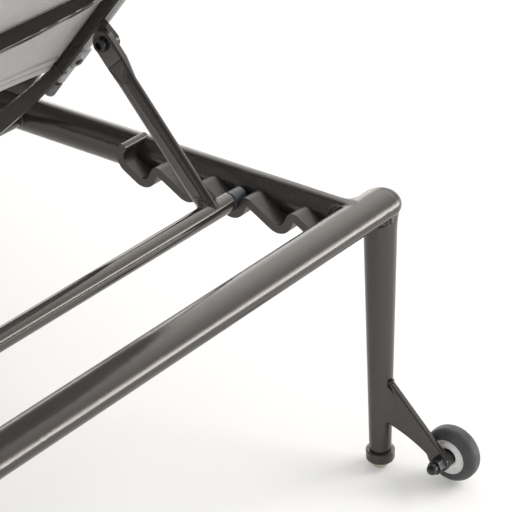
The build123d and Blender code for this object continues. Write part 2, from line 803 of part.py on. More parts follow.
# Seat braces across the base, and the saddles that carry the seat rails on them
brace_top = seat_tube_z - saddle_drop
brace_start = seat_front + seat_brace_inset
brace_step = (seat_rear - seat_brace_inset - brace_start) / (seat_braces - 1)
brace_places = [brace_start + step * brace_step for step in range(seat_braces)]
brace_end = rail_inner - seat_brace_flat
for number, place in enumerate(brace_places, start=1):
    with BuildPart() as seat_brace:
        with BuildSketch(Plane.YZ.offset(place - brace_thick / 2)):
            with BuildLine():
                brace_low = brace_top - seat_brace_depth
                dip_top = brace_top - seat_brace_bow
                dip_low = brace_low - seat_brace_bow
                ThreePointArc((-brace_end, brace_top), (0, dip_top), (brace_end, brace_top))
                Line((brace_end, brace_top), (rail_y, brace_top))
                Line((rail_y, brace_top), (rail_y, brace_low))
                Line((rail_y, brace_low), (brace_end, brace_low))
                ThreePointArc((brace_end, brace_low), (0, dip_low), (-brace_end, brace_low))
                Line((-brace_end, brace_low), (-rail_y, brace_low))
                Line((-rail_y, brace_low), (-rail_y, brace_top))
                Line((-rail_y, brace_top), (-brace_end, brace_top))
            make_face()
        extrude(amount=brace_thick)
        cut_side_rails()
    save(seat_brace.part, "seat_brace_" + str(number))

with BuildPart() as seat_saddles:
    for place in brace_places:
        with BuildSketch(Plane.YZ.offset(place - saddle_width / 2)):
            saddle_face(seat_tube_z, brace_end, saddle_wall)
        extrude(amount=saddle_width)
save_mirrored_group(seat_saddles.part, "seat_saddles")

# Prop lugs on the back rails, with the pivot bolts screwed into them
with BuildPart() as lug:
    with BuildSketch(back_side(lug_outer)):
        with Locations((lug_place, lug_out)):
            Circle(lug_r)
        with Locations((lug_place, back_rear - weld_gap)):
            Rectangle(lug_foot, lug_foot_rise, align=(Align.CENTER, Align.MAX))
        make_hull()
        with Locations((lug_place, lug_out)):
            Circle(prop_pin_dia / 2 + press_gap, mode=Mode.SUBTRACT)
    extrude(amount=lug_thick)
save_pair(lug.part, "prop_lug")

prop_head_y = prop_tab_outer - prop_tab_thick - prop_gap
prop_bolt_end = lug_outer - press_gap
with BuildPart() as prop_bolt:
    with BuildSketch(back_side(prop_bolt_end)):
        with Locations((lug_place, lug_out)):
            Circle(prop_pin_dia / 2)
    extrude(amount=prop_bolt_end - prop_head_y)
    with BuildSketch(back_side(prop_head_y)):
        with Locations((lug_place, lug_out)):
            Circle(prop_head_dia / 2)
    extrude(amount=prop_head)
    fillet(prop_bolt.faces().sort_by(Axis.Y)[0].edges(), prop_head_edge)
    with BuildSketch(back_side(prop_head_y - prop_head)):
        with Locations((lug_place, lug_out)):
            RegularPolygon(socket_flats / 2, 6, major_radius=False)
    extrude(amount=-socket_depth, mode=Mode.SUBTRACT)
save_mirrored_group(prop_bolt.part, "prop_pivot_bolts")

# Prop arms: oval tube pressed flat at the pivot and coped to the bar
blend_end = prop_tab + prop_blend
with BuildPart() as prop_arm:
    tab_plane = Plane(origin=(lug_at.X, prop_tab_outer, lug_at.Z), x_dir=along_prop, z_dir=(0, -1, 0))
    with BuildSketch(tab_plane):
        Circle(prop_tab_width / 2)
        Rectangle(prop_tab, prop_tab_width, align=(Align.MIN, Align.CENTER))
    extrude(amount=prop_tab_thick)
    fillet(prop_arm.faces().filter_by(Axis.Y).edges(), prop_tab_edge)
    with BuildSketch(tab_plane):
        Circle(prop_pin_dia / 2 + running_gap)
    extrude(amount=prop_tab_thick, mode=Mode.SUBTRACT)
    with BuildSketch(prop_section(prop_tab, prop_tab_y)):
        RectangleRounded(prop_tab_thick, prop_tab_width, prop_tab_edge)
    with BuildSketch(prop_section(blend_end, prop_tube_y)):
        Ellipse(prop_tube_thick / 2, prop_tube_width / 2)
    loft()
    with BuildSketch(prop_section(blend_end, prop_tube_y)):
        Ellipse(prop_tube_thick / 2, prop_tube_width / 2)
    extrude(amount=prop_length - blend_end)
    with BuildSketch(side(prop_bar_half)):
        with Locations((sleeve_at.X, sleeve_at.Z)):
            Circle(prop_bar_dia / 2 + weld_gap)
    extrude(amount=2 * prop_bar_half, mode=Mode.SUBTRACT)
save_pair(prop_arm.part, "prop_arm")

# Prop bar with turned spigots, and the sleeves that run on them
sleeve_start = prop_bar_half + side_gap
sleeve_end = sleeve_start + sleeve_length
with BuildPart() as prop_bar:
    with BuildSketch(side(prop_bar_half)):
        with Locations((sleeve_at.X, sleeve_at.Z)):
            Circle(prop_bar_dia / 2)
    extrude(amount=2 * prop_bar_half)
    chamfer(prop_bar.edges().filter_by(GeomType.CIRCLE), prop_bar_edge)
    with BuildSketch(side(sleeve_end)):
        with Locations((sleeve_at.X, sleeve_at.Z)):
            Circle(spigot_dia / 2)
    extrude(amount=2 * sleeve_end)
save(prop_bar.part, "prop_bar")

with BuildPart() as sleeve:
    with BuildSketch(side(sleeve_end)):
        with Locations((sleeve_at.X, sleeve_at.Z)):
            Circle(sleeve_dia / 2)
    extrude(amount=sleeve_length)
    fillet(sleeve.edges().filter_by(GeomType.CIRCLE), sleeve_edge)
    with BuildSketch(side(sleeve_end)):
        with Locations((sleeve_at.X, sleeve_at.Z)):
            Circle(spigot_dia / 2 + press_gap)
    extrude(amount=sleeve_length, mode=Mode.SUBTRACT)
save_pair(sleeve.part, "prop_sleeve")
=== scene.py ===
"""Reclining sun lounger: finishes, welds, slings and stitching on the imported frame, in metres."""

import bpy
import numpy as np
from mathutils import Matrix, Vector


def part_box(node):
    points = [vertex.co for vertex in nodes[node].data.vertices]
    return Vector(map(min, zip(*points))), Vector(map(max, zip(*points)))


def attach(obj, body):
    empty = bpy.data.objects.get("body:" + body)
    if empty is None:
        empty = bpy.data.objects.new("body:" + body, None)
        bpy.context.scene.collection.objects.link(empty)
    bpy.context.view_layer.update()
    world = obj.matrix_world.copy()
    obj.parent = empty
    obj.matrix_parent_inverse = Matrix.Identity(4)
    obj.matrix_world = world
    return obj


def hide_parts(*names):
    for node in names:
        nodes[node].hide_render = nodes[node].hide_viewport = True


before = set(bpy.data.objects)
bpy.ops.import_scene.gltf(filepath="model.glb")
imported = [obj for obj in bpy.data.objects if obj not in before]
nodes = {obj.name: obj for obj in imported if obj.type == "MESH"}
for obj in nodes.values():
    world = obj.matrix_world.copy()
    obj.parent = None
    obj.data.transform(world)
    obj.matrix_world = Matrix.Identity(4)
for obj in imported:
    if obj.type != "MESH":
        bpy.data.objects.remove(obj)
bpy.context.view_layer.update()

# Base frame: oval aluminium tube welded into a rectangle on tapered legs, with hinge bosses and
# guards, seat braces, sling rails and notched racks. All of it has a glossy bronze-grey paint,
# which is duller on the racks.
SEAT_BRACES = ("seat_brace_1", "seat_brace_2", "seat_brace_3", "seat_brace_4")
PAINTED_BASE = ("rear_cross_tube", "front_cross_tube", "side_rail_left", "side_rail_right",
                "leg_rear_left", "leg_rear_right", "leg_front_left", "leg_front_right",
                "hinge_boss_left", "hinge_boss_right", "hinge_guard_left", "hinge_guard_right",
                *SEAT_BRACES, "seat_sling_rail_left", "seat_sling_rail_right")
RACKS = ("recline_rack_left", "recline_rack_right")
BRONZE, BRONZE_DULL, BRONZE_FLAKE = ((0.08, 0.074, 0.069), (0.074, 0.068, 0.064),
                                     (0.108, 0.1, 0.094))
FRAME_ROUGH, RACK_ROUGH = 0.24, 0.4


def surface(name, colour, rough, metal=0.0, coat=0.0, coat_rough=0.1, sheen=0.0):
    """New material with a principled shader, given with its node tree and its shader."""
    material = bpy.data.materials.new(name)
    material.use_nodes = True
    tree = material.node_tree
    shader = tree.nodes["Principled BSDF"]
    shader.inputs["Base Color"].default_value = (*colour, 1)
    shader.inputs["Roughness"].default_value = rough
    shader.inputs["Metallic"].default_value = metal
    shader.inputs["Coat Weight"].default_value = coat
    shader.inputs["Coat Roughness"].default_value = coat_rough
    shader.inputs["Sheen Weight"].default_value = sheen
    return material, tree, shader


def noise(tree, scale, detail=3.0, stretch=(1, 1, 1), coords="Object"):
    """Noise pattern on the piece's own coordinates, finer with scale and pulled by stretch."""
    place = tree.nodes.new("ShaderNodeTexCoord")
    mapping = tree.nodes.new("ShaderNodeMapping")
    mapping.inputs["Scale"].default_value = stretch
    texture = tree.nodes.new("ShaderNodeTexNoise")
    texture.inputs["Scale"].default_value = scale
    texture.inputs["Detail"].default_value = detail
    tree.links.new(place.outputs[coords], mapping.inputs["Vector"])
    tree.links.new(mapping.outputs["Vector"], texture.inputs["Vector"])
    return texture.outputs["Fac"]


def ramp(tree, value, low, high, first, last):
    """Colour that goes from first to last as a value goes from low to high."""
    node = tree.nodes.new("ShaderNodeValToRGB")
    node.color_ramp.elements[0].position = low
    node.color_ramp.elements[1].position = high
    node.color_ramp.elements[0].color = (*first, 1)
    node.color_ramp.elements[1].color = (*last, 1)
    tree.links.new(value, node.inputs["Fac"])
    return node.outputs["Color"]


def span(tree, value, low, high):
    """Number that goes from low to high as a value goes from 0.25 to 0.75."""
    node = tree.nodes.new("ShaderNodeMapRange")
    node.inputs["From Min"].default_value = 0.25
    node.inputs["From Max"].default_value = 0.75
    node.inputs["To Min"].default_value = low
    node.inputs["To Max"].default_value = high
    tree.links.new(value, node.inputs["Value"])
    return node.outputs["Result"]


def relief(tree, shader, height, strength, depth):
    """Bump of a given depth in metres from a height pattern, on the shader's normal."""
    node = tree.nodes.new("ShaderNodeBump")
    node.inputs["Strength"].default_value = strength
    node.inputs["Distance"].default_value = depth
    tree.links.new(height, node.inputs["Height"])
    tree.links.new(node.outputs["Normal"], shader.inputs["Normal"])


def finish(made, tones, wear=None, bump=None):
    """Material of a new surface whose colour, roughness and height follow noise. Each is given as
    its noise, and then low, high, dull and bright for the colour, least and most for the roughness,
    or strength and depth for the bump."""
    material, tree, shader = made
    grain, *colours = tones
    tree.links.new(ramp(tree, noise(tree, *grain), *colours), shader.inputs["Base Color"])
    if wear:
        grain, least, most = wear
        tree.links.new(span(tree, noise(tree, *grain), least, most), shader.inputs["Roughness"])
    if bump:
        grain, strength, depth = bump
        relief(tree, shader, noise(tree, *grain), strength, depth)
    return material


def bronze_paint(name, rough, tone=1.0):
    """Dark bronze-grey metallic paint: faint flakes, slow drift in gloss, an orange-peel bump."""
    dull, flake = (tuple(tone * np.array(colour)) for colour in (BRONZE_DULL, BRONZE_FLAKE))
    return finish(surface(name, BRONZE, rough, metal=0.8, coat=0.15, coat_rough=0.08),
                  tones=((900.0, 1.0), 0.3, 0.75, dull, flake),
                  wear=((22.0,), rough - 0.04, rough + 0.05),
                  bump=((260.0, 2.0), 0.06, 0.0003))


def dress(names, material):
    """Give the nodes of these names one material."""
    for name in names:
        mesh = nodes[name].data
        mesh.materials.clear()
        mesh.materials.append(material)


frame_paint = bronze_paint("frame_paint", FRAME_ROUGH)
dress(PAINTED_BASE, frame_paint)
rack_paint = bronze_paint("rack_paint", RACK_ROUGH)
dress(RACKS, rack_paint)

# Frame welds: the beads that a hand torch leaves where the legs and rails are coped to the
# cross tubes, painted over with the tubes. Each bead is a row of overlapping drops, and each
# joint has two layers, given as the distance from the tube and the bead's radius.
HANDS = (1, -1)
REAR_X, FRONT_X = 0.77775, -0.87225
CROSS_ENDS = ((REAR_X, -1), (FRONT_X, 1))
LEG_Y, CROSS_Z, RAIL_Y, RAIL_Z = 0.312, 0.33725, 0.271, 0.331
TUBE_WIDE, TUBE_HIGH, RAIL_WIDE, RAIL_HIGH = 0.023, 0.01675, 0.01675, 0.023
WELD_ROUGH, WELD_PITCH, WELD_PROUD = 0.3, 0.0042, 0.0002
DROP_POINTS, BEAD_SIDES = 5, 8
LEG_WELD_R, LEG_WELD_PITCH = 0.0188, 0.005
LEG_WELD_LAYERS = ((0.0004, 0.0026), (0.0042, 0.0019))
RAIL_WELD_NEAREST, RAIL_WELD_PITCH = 0.0135, 0.0056
RAIL_WELD_LAYERS = ((0.0005, 0.0032), (0.006, 0.0024))


def lay_grid(name, grids, material, around=True, close=False):
    """Mesh of one or more point grids (rows, columns, 3): each four neighbours make a face. around
    joins the last column to the first, close joins the last row to the first, and the open rows of
    a tube each end in one face."""
    points, faces, start = [], [], 0
    for grid in grids:
        rows, columns = grid.shape[:2]
        index = start + np.arange(rows * columns).reshape(rows, columns)
        if around:
            index = np.concatenate([index, index[:, :1]], axis=1)
        if close:
            index = np.concatenate([index, index[:1]], axis=0)
        quads = np.stack([index[:-1, :-1], index[:-1, 1:], index[1:, 1:], index[1:, :-1]], axis=-1)
        faces += quads.reshape(-1, 4).tolist()
        if around and not close:
            faces += [index[0, :-1][::-1].tolist(), index[-1, :-1].tolist()]
        points.append(grid.reshape(-1, 3))
        start += rows * columns
    mesh = bpy.data.meshes.new(name)
    mesh.from_pydata(np.concatenate(points).tolist(), [], faces)
    mesh.polygons.foreach_set("use_smooth", np.ones(len(mesh.polygons), dtype=bool))
    mesh.materials.append(material)
    piece = bpy.data.objects.new(name, mesh)
    bpy.context.scene.collection.objects.link(piece)
    return piece


def unit(vectors):
    """Vectors of the same directions, each of length one."""
    return vectors / np.linalg.norm(vectors, axis=-1, keepdims=True)


def travelled(line):
    """Distance along a line of points from its start to each of them."""
    return np.concatenate([[0], np.cumsum(np.linalg.norm(np.diff(line, axis=0), axis=1))])


def points_at(line, at):
    """Points of a line at given distances from its start, straight between its own points."""
    gone = travelled(line)
    return np.stack([np.interp(at, gone, line[:, axis]) for axis in range(3)], axis=1)


def weld(path, radius, closed=True, pitch=WELD_PITCH):
    """Grid of a weld bead: a round section carried along a path, whose radius swells once in each
    pitch by a cosine and wanders by a slow sine, so that the drops overlap unevenly. An open bead
    tapers to its ends."""
    loop = np.concatenate([path, path[:1]]) if closed else path
    long = travelled(loop)[-1]
    drops = round(long / pitch)
    at = np.linspace(0, long, max(8, drops * DROP_POINTS), endpoint=not closed)
    line = points_at(loop, at)
    if closed:
        way = unit(np.roll(line, -1, axis=0) - np.roll(line, 1, axis=0))
    else:
        way = unit(np.gradient(line, axis=0))
    off_any_path = (0.31, 0.52, 0.79)
    first = unit(np.cross(way, off_any_path))
    second = np.cross(way, first)
    step = at / long * drops
    wander = np.sin(1.7 * step + 3 * path[0].sum())
    swell = radius * (0.82 + 0.26 * np.abs(np.cos(np.pi * step)) + 0.1 * wander)
    if not closed:
        swell *= np.sqrt(np.clip(np.minimum(at, long - at) / radius, 0.05, 1))
    turn = np.linspace(0, 2 * np.pi, BEAD_SIDES, endpoint=False)[:, None]
    ring = np.cos(turn) * first[:, None] + np.sin(turn) * second[:, None]
    return line[:, None] + swell[:, None, None] * ring


def tube_side(z):
    """Half width of a cross tube's oval at a height."""
    return TUBE_WIDE * np.sqrt(np.clip(1 - ((z - CROSS_Z) / TUBE_HIGH) ** 2, 0, 1))


def tube_under(reach):
    """Height of a cross tube's underside at a distance from its middle line, on its oval."""
    return CROSS_Z - TUBE_HIGH * np.sqrt(1 - (reach / TUBE_WIDE) ** 2)


weld_paint = bronze_paint("weld_paint", WELD_ROUGH)
inner_half = np.radians(np.linspace(184, 356, 40))
across, inward = LEG_WELD_R * np.cos(inner_half), LEG_WELD_R * np.sin(inner_half)
leg_beads = []
for tube_x, _ in CROSS_ENDS:
    for hand in HANDS:
        for lower, radius in LEG_WELD_LAYERS:
            line = np.stack([tube_x + across, hand * (LEG_Y + inward), tube_under(across) - lower],
                            axis=1)
            leg_beads.append(weld(line, radius, closed=False, pitch=LEG_WELD_PITCH))
leg_welds = lay_grid("leg_welds", leg_beads, weld_paint)
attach(leg_welds, "base")

inner_side = np.radians(np.linspace(118, 333, 60))
y = RAIL_Y + (RAIL_WIDE + WELD_PROUD) * np.cos(inner_side)
z = RAIL_Z + (RAIL_HIGH + WELD_PROUD) * np.sin(inner_side)
rail_beads = []
for tube_x, way in CROSS_ENDS:
    for hand in HANDS:
        for away, radius in RAIL_WELD_LAYERS:
            x = tube_x + way * (np.maximum(tube_side(z), RAIL_WELD_NEAREST) + away)
            rail_beads.append(weld(np.stack([x, hand * y, z], axis=1), radius, closed=False,
                                   pitch=RAIL_WELD_PITCH))
rail_welds = lay_grid("rail_welds", rail_beads, weld_paint)
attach(rail_welds, "base")

# Ground corners: on top and outside, the weld between rail and cross tube and the one between
# tube end and leg are built up and ground to smooth hollow curves, painted with the tubes.
ROUND = np.linspace(0, 2 * np.pi, 60, endpoint=False)
FILLET_SKIN, FILLET_ALONG_RAIL, FILLET_ON_TUBE = 0.0003, 0.024, 0.022
FILLET_ROOM_SHARE, FILLET_FADE = 0.85, 0.8
LEG_FOOT_R, LEG_FOOT_Z, LEG_TAPER = 0.0125, 0.011, 0.019923
LEG_CORNER_R, LEG_ON_TUBE_R, LEG_ON_TUBE_MORE = 0.0187, 0.0195, 0.0033
LEG_FILLET_LEAST, LEG_FILLET_MORE, LEG_FILLET_SINK = 0.003, 0.022, 0.0001


def bend(first, corner, last, count):
    """Rows of points on the hollow curves, parabolas, from first to last that are drawn towards the
    corner points."""
    share = np.linspace(0, 1, count)[:, None, None]
    return (1 - share) ** 2 * first + 2 * share * (1 - share) * corner + share ** 2 * last


def smooth(value, low, high):
    """Smooth step from 0 at low to 1 at high."""
    share = np.clip((value - low) / (high - low), 0, 1)
    return share ** 2 * (3 - 2 * share)


def leg_radius(z):
    """Radius of a leg at a height: a straight taper from its foot."""
    return LEG_FOOT_R + LEG_TAPER * (z - LEG_FOOT_Z)


# Rail fillet: it goes round the rail's oval from the outer side over the top. It reaches out over
# the tube as far as the tube's own height leaves room, and fades towards the inner side.
angle = np.radians(np.linspace(-26, 128, 46))
y, z = RAIL_Y + RAIL_WIDE * np.cos(angle), RAIL_Z + RAIL_HIGH * np.sin(angle)
out_y, out_z = unit(np.stack([np.cos(angle) / RAIL_WIDE, np.sin(angle) / RAIL_HIGH], axis=1)).T
room = np.where(out_z > 0, CROSS_Z + TUBE_HIGH - z, z - CROSS_Z + TUBE_HIGH)
room = np.clip(room / np.maximum(np.abs(out_z), 0.02), 0, None)
fade = 1 - FILLET_FADE * smooth(angle, np.radians(75), np.radians(120))
out = np.minimum(FILLET_ON_TUBE * fade, FILLET_ROOM_SHARE * room)
far_z = z + out * out_z

# Leg fillet: rings on the leg, in the corner and under the tube, further apart on the outer half.
outer_half = smooth(np.sin(ROUND), -0.35, 0.35)
corner_r, tube_r = np.full(ROUND.size, LEG_CORNER_R), LEG_ON_TUBE_R + LEG_ON_TUBE_MORE * outer_half
corner_z, tube_z = (tube_under(np.where(np.sin(ROUND) < 0, np.abs(ring * np.cos(ROUND)), ring))
                    for ring in (corner_r, tube_r))
foot_z = corner_z - LEG_FILLET_LEAST - LEG_FILLET_MORE * outer_half
foot_r = leg_radius(foot_z) - LEG_FILLET_SINK

corner_webs, leg_webs = [], []
for tube_x, way in CROSS_ENDS:
    for hand in HANDS:
        corner = np.stack([tube_x + way * (tube_side(z) + FILLET_SKIN),
                           hand * (y + FILLET_SKIN * out_y), z + FILLET_SKIN * out_z], axis=1)
        under_skin = -2 * FILLET_SKIN
        along_rail = corner + np.stack([way * FILLET_ALONG_RAIL * fade, hand * under_skin * out_y,
                                        under_skin * out_z], axis=1)
        on_tube = np.stack([tube_x + way * (tube_side(far_z) - FILLET_SKIN),
                            hand * (y + out * out_y), far_z], axis=1)
        web = bend(along_rail, corner, on_tube, 14)
        corner_webs.append(web if hand * way < 0 else web[:, ::-1])

        rings = [np.stack([tube_x + ring * np.cos(ROUND), hand * (LEG_Y + ring * np.sin(ROUND)),
                           height], axis=1)
                 for ring, height in ((foot_r, foot_z), (corner_r, corner_z), (tube_r, tube_z))]
        web = bend(*rings, 12)
        leg_webs.append(web if hand > 0 else web[:, ::-1])
rail_fillets = lay_grid("rail_fillets", corner_webs, frame_paint, around=False)
leg_fillets = lay_grid("leg_fillets", leg_webs, frame_paint)
for fillets in (rail_fillets, leg_fillets):
    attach(fillets, "base")

# Wheel arms: plates cut to a taper with a hollow lower edge and a round end at the axle, their
# edges rounded before painting. They stand for the solids, whose lower edge ends in a small horn.
AXLE, ARM_TOP = np.array([REAR_X + 0.084, 0.037]), np.array([0.79135, 0.116])
ARM_END_R, ARM_TOP_R, ARM_EDGE_R, ARM_HALF = 0.0105, 0.003, 0.0016, 0.004
ARM_INSIDE_X, ARM_INSIDE_TOP, ARM_LOWER_Z = REAR_X + 0.0105, 0.1175, 0.063
ARM_HOLLOW_X, ARM_HOLLOW_Z = ARM_TOP[0] + 0.023, 0.056


def plate_outline():
    """Outline in the x, z plane, counter-clockwise: down inside the leg, along the hollow edge, a
    parabola through three points, round the axle end and back up the straight edge that touches the
    two end circles."""
    run = AXLE - ARM_TOP
    long = np.linalg.norm(run)
    lean = (ARM_TOP_R - ARM_END_R) / long
    touch = lean * run / long + np.sqrt(1 - lean ** 2) * np.array([-run[1], run[0]]) / long
    hollow_x = np.array([ARM_TOP[0] - ARM_TOP_R, ARM_HOLLOW_X, AXLE[0] - ARM_END_R])
    hollow = np.polyfit(hollow_x, (ARM_LOWER_Z, ARM_HOLLOW_Z, AXLE[1]), 2)
    lower_x = np.linspace(hollow_x[0], hollow_x[2], 30)
    end = np.linspace(np.pi, 2 * np.pi + np.arctan2(touch[1], touch[0]), 40)
    inside = np.stack([np.full(12, ARM_INSIDE_X), np.linspace(ARM_INSIDE_TOP, ARM_LOWER_Z, 12)],
                      axis=1)
    lower = np.stack([lower_x, np.polyval(hollow, lower_x)], axis=1)
    round_end = AXLE + ARM_END_R * np.stack([np.cos(end), np.sin(end)], axis=1)
    straight = np.linspace(AXLE + ARM_END_R * touch, ARM_TOP + ARM_TOP_R * touch, 24)
    return np.concatenate([inside, lower, round_end[1:], straight[1:]])


# Each plate is its outline from one face to the other, drawn in by a quarter circle at both edges.
outline = plate_outline()
edge_way = unit(np.roll(outline, -1, axis=0) - np.roll(outline, 1, axis=0))
edge_out = np.stack([edge_way[:, 1], -edge_way[:, 0]], axis=1)
quarter = np.linspace(0, np.pi / 2, 5)
inset = np.concatenate([[2 * ARM_EDGE_R], ARM_EDGE_R * (1 - np.sin(quarter))])
depth = np.concatenate([[ARM_HALF], ARM_HALF - ARM_EDGE_R * (1 - np.cos(quarter))])
inset, depth = np.concatenate([inset, inset[::-1]]), np.concatenate([-depth, depth[::-1]])
x, z = np.moveaxis(outline - inset[:, None, None] * edge_out, -1, 0)
for hand, side in ((1, "right"), (-1, "left")):
    plate = np.stack(np.broadcast_arrays(x, hand * (LEG_Y + depth[:, None]), z), axis=-1)
    arm = lay_grid("wheel_plate_" + side, [plate if hand < 0 else plate[:, ::-1]], frame_paint)
    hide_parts("wheel_arm_" + side)
    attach(arm, "base")

# Wheel arm welds: each plate flows into the rear leg in a ground hollow on both faces,
# with a blob of weld left at the top, all painted over.
WEB_LOW, WEB_HIGH, WEB_REACH, WEB_DROP = 0.0655, 0.1165, 0.009, 0.3
WEB_ON_LEG_X, WEB_ON_LEG_Y = 0.62, 0.78
WEB_CORNER_X, WEB_CORNER_Y, WEB_ON_PLATE_Y = 0.0008, 0.0046, 0.0039
BLOB_X, BLOB_Z, BLOB_R, BLOB_HALF, BLOB_CROWN = REAR_X + 0.0149, 0.118, 0.004, 0.005, 20
z = np.linspace(WEB_LOW, WEB_HIGH, 30)
leg_r = leg_radius(z)
meet = REAR_X + np.sqrt(leg_r ** 2 - ARM_HALF ** 2)
on_leg = REAR_X + WEB_ON_LEG_X * leg_r, WEB_ON_LEG_Y * leg_r, z
corner = meet + WEB_CORNER_X, WEB_CORNER_Y, z
on_plate = meet + WEB_REACH, WEB_ON_PLATE_Y, z - WEB_DROP * (z - WEB_LOW)
blob = np.linspace(-BLOB_HALF, BLOB_HALF, 8)
blob_z = BLOB_Z - BLOB_CROWN * blob ** 2
arm_webs, arm_beads = [], []
for hand in HANDS:
    for face in HANDS:
        lines = [np.stack(np.broadcast_arrays(x, hand * (LEG_Y + face * off), height), axis=1)
                 for x, off, height in (on_leg, corner, on_plate)]
        web = bend(*lines, 10)
        arm_webs.append(web if hand * face > 0 else web[:, ::-1])
    top = np.stack(np.broadcast_arrays(BLOB_X, hand * LEG_Y + blob, blob_z), axis=1)
    arm_beads.append(weld(top, BLOB_R, closed=False))
arm_fillets = lay_grid("arm_fillets", arm_webs, frame_paint, around=False)
arm_welds = lay_grid("arm_welds", arm_beads, weld_paint)
for seam in (arm_fillets, arm_welds):
    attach(seam, "base")

# Hinge boss and seat brace welds: rings round the bosses and round the brace ends,
# laid on the inner faces of the side rails and painted over.
HINGE_X, BOSS_RING_R, RING_BEAD_R = 0.28975, 0.0122, 0.0018
BRACE_TOP, BRACE_UNDER = 0.3397, 0.3197


def rail_face(z):
    """Distance from the centre plane of a side rail's inner face at a height: the inner half of its
    oval, a little proud."""
    rise = (z - RAIL_Z) / (RAIL_HIGH + WELD_PROUD)
    return RAIL_Y - (RAIL_WIDE + WELD_PROUD) * np.sqrt(np.clip(1 - rise ** 2, 0, 1))


def box_ring(first, second, count=14):
    """Outline of a rectangle from two spans, corner to corner, as two arrays of points in turn."""
    step = np.linspace(0, 1, count)[:-1]
    stay = np.zeros(count - 1)
    forth = np.concatenate([step, stay + 1, 1 - step, stay])
    over = np.concatenate([stay, step, stay + 1, 1 - step])
    return first[0] + (first[1] - first[0]) * forth, second[0] + (second[1] - second[0]) * over


rings = [(HINGE_X + BOSS_RING_R * np.cos(ROUND), RAIL_Z + BOSS_RING_R * np.sin(ROUND))]
for brace in SEAT_BRACES:
    low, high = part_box(brace)
    rings.append(box_ring((low[0], high[0]), (BRACE_TOP, BRACE_UNDER), 12))
boss_rings = [weld(np.stack([x, hand * rail_face(z), z], axis=1), RING_BEAD_R)
              for x, z in rings for hand in HANDS]
boss_welds = lay_grid("boss_welds", boss_rings, weld_paint, close=True)
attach(boss_welds, "base")

# Feet: dark cups pressed over the tapered leg ends, each with a cream glide that
# takes the weight on the floor.
cup_paint = finish(surface("cup_finish", (0.035, 0.033, 0.031), 0.24, metal=0.4, coat=0.7),
                   tones=((60.0,), 0.3, 0.7, (0.028, 0.027, 0.025), (0.05, 0.048, 0.046)),
                   wear=((140.0,), 0.32, 0.5), bump=((420.0,), 0.15, 0.0003))
dress(("foot_cups",), cup_paint)

glide_plastic = finish(surface("glide_plastic", (0.62, 0.58, 0.44), 0.5),
                       tones=((90.0,), 0.3, 0.75, (0.5, 0.46, 0.34), (0.68, 0.64, 0.5)),
                       wear=((240.0,), 0.42, 0.62), bump=((700.0,), 0.2, 0.0002))
dress(("foot_glides",), glide_plastic)

# Rear wheels: grey rubber tyres on bright cast hubs with ball bearings, held by dark
# bolts, black spacers and acorn nuts.
tyre_rubber = finish(surface("tyre_rubber", (0.05, 0.05, 0.051), 0.55, sheen=0.15),
                     tones=((70.0, 6.0), 0.35, 0.7, (0.038, 0.038, 0.039), (0.07, 0.069, 0.068)),
                     wear=((180.0,), 0.42, 0.66), bump=((1100.0,), 0.25, 0.0002))
dress(("wheel_tyre_left", "wheel_tyre_right"), tyre_rubber)

hub_metal = finish(surface("hub_metal", (0.9, 0.9, 0.89), 0.3, coat=0.4),
                   tones=((120.0,), 0.3, 0.7, (0.86, 0.86, 0.85), (0.94, 0.94, 0.93)),
                   wear=((300.0,), 0.24, 0.4), bump=((800.0,), 0.12, 0.0002))
dress(("wheel_hub_left", "wheel_hub_right"), hub_metal)

bearing_steel = finish(surface("bearing_steel", (0.5, 0.5, 0.5), 0.28, metal=1.0),
                       tones=((260.0,), 0.3, 0.7, (0.42, 0.42, 0.42), (0.56, 0.56, 0.56)),
                       wear=((500.0, 3.0, (1, 0.1, 1)), 0.2, 0.38))
dress(("wheel_bearings_left", "wheel_bearings_right"), bearing_steel)

dark_steel = finish(surface("dark_steel", (0.06, 0.06, 0.062), 0.34, metal=0.85),
                    tones=((160.0,), 0.3, 0.75, (0.045, 0.045, 0.047), (0.085, 0.085, 0.087)),
                    wear=((420.0,), 0.26, 0.44), bump=((900.0,), 0.1, 0.0002))
dress(("axle_bolts", "acorn_nuts"), dark_steel)

spacer_plastic = finish(surface("spacer_plastic", (0.02, 0.02, 0.021), 0.45),
                        tones=((90.0,), 0.3, 0.7, (0.015, 0.015, 0.016), (0.03, 0.03, 0.031)),
                        wear=((260.0,), 0.36, 0.56))
dress(("axle_spacers",), spacer_plastic)

# Back frame: flat bars on two curved hinge arms, welded to a top bar and two bowed braces, with
# the lugs for the prop behind. They carry the frame's paint at half its brightness: painted shade
# for the shaded floor under the lounger that their flat faces mirror.
BACK_BARS = ("hinge_arm_left", "hinge_arm_right", "back_rail_left", "back_rail_right",
             "back_top_bar", "back_brace_lower", "back_brace_upper", "back_sling_rail_left",
             "back_sling_rail_right", "prop_lug_left", "prop_lug_right")
BACK_ROUGH, BACK_SHADE_TONE = 0.22, 0.5
RECLINE = np.radians(50)
HINGE = np.array([HINGE_X, 0, RAIL_Z])
ALONG = np.array([np.cos(RECLINE), 0, np.sin(RECLINE)])
OUT = np.array([-np.sin(RECLINE), 0, np.cos(RECLINE)])
ACROSS = np.array([0.0, 1, 0])
BACK_RAIL_Y, BACK_RAIL_N, BACK_BRACE_N = (0.207, 0.215), (-0.0322, -0.0172), (-0.0289, -0.0179)
ARM_JOINT_S, ARM_JOINT_BEAD_R, ARM_JOINT_PITCH = 0.165, 0.0012, 0.003
BAR_END_Y, BAR_END_BEAD_R = 0.2068, 0.0016
BAR_ENDS = (((0.325, 0.333), BACK_BRACE_N), ((0.57, 0.578), BACK_BRACE_N),
            ((0.766, 0.794), BACK_RAIL_N))
LUG_FACES, LUG_FOOT, LUG_FOOT_N, LUG_BEAD_R = (0.2072, 0.2148), (0.2465, 0.2665), -0.0327, 0.0016


